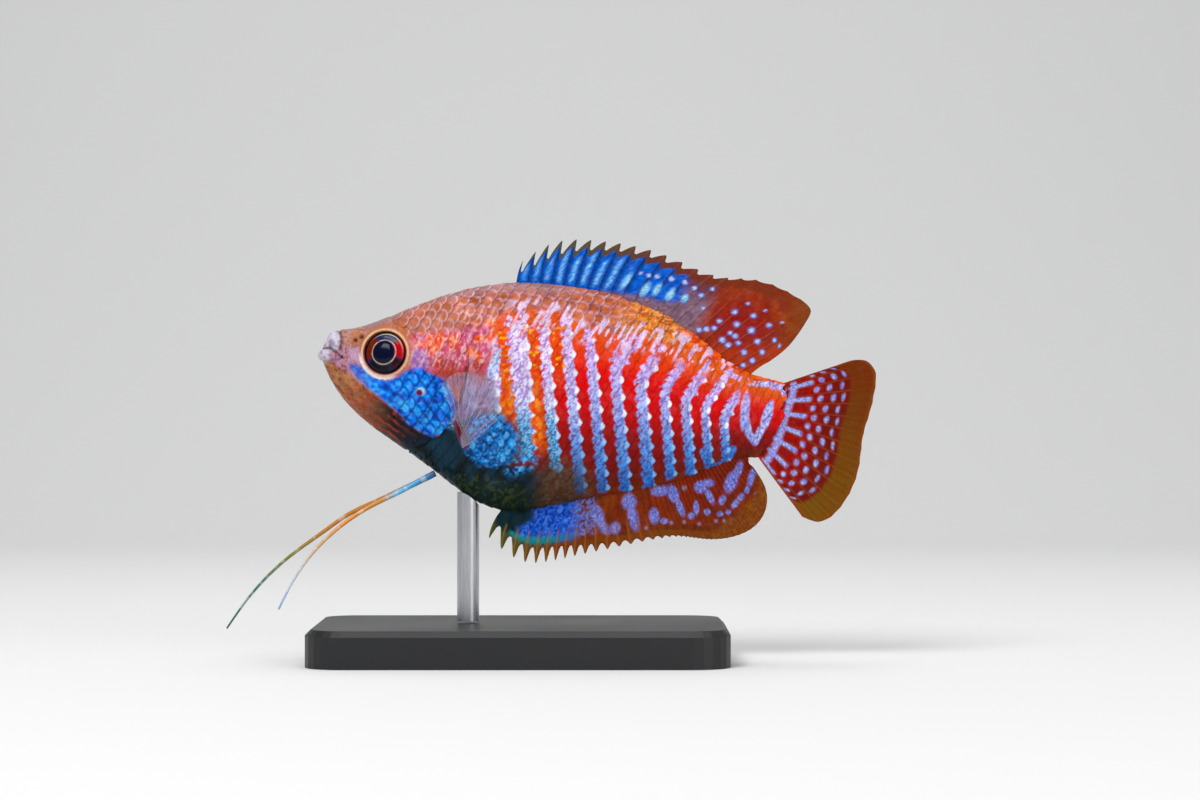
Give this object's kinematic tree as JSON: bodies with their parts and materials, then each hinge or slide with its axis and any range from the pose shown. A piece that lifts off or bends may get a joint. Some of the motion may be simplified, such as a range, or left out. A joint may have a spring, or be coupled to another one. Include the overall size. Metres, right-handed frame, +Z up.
{
  "type": "dwarf gourami model",
  "caption": "Life-size still model of a dwarf gourami, a small deep-bodied tropical fish with thread-like pelvic feelers, on a low display stand.",
  "frame": {"origin": "centre of the stand's underside, on the floor", "axes": "+Z up; +X along the fish from its head towards its tail; +Y from the fish's left side towards its right side"},
  "size_m": [0.0893, 0.034, 0.0568],
  "materials": {
    "head_skin": "wet scaled skin: tan brow, blue cheek and gill cover, dark throat",
    "body_skin": "wet scaled skin barred in pale blue and red, tan back, dark belly",
    "dorsal_fin": "thin fin with blue streaks in front and red-brown with pale spots behind",
    "anal_fin": "thin fin, blue in front, red and lavender behind, orange spines",
    "caudal_fin": "thin orange-brown fin with blue dots and a plain margin",
    "pectoral_fin": "clear, faintly lavender fin with pale rays",
    "feeler": "orange thread, blue at the root",
    "eye": "black pupil with a pale gold ring in a dark red iris, under a clear surface",
    "stand_base": "satin black",
    "stand_rod": "brushed"
  },
  "bodies": {
    "root": {"head": "head_skin", "trunk": "body_skin", "tail_peduncle": "body_skin", "dorsal_fin": "dorsal_fin", "anal_fin": "anal_fin", "caudal_fin": "caudal_fin", "pectoral_fin_left": "pectoral_fin", "pectoral_fin_right": "pectoral_fin", "pelvic_feeler_left": "feeler", "pelvic_feeler_right": "feeler", "eye_left": "eye", "eye_right": "eye", "stand_base": "stand_base", "stand_rod": "stand_rod"}
  },
  "joints": []
}
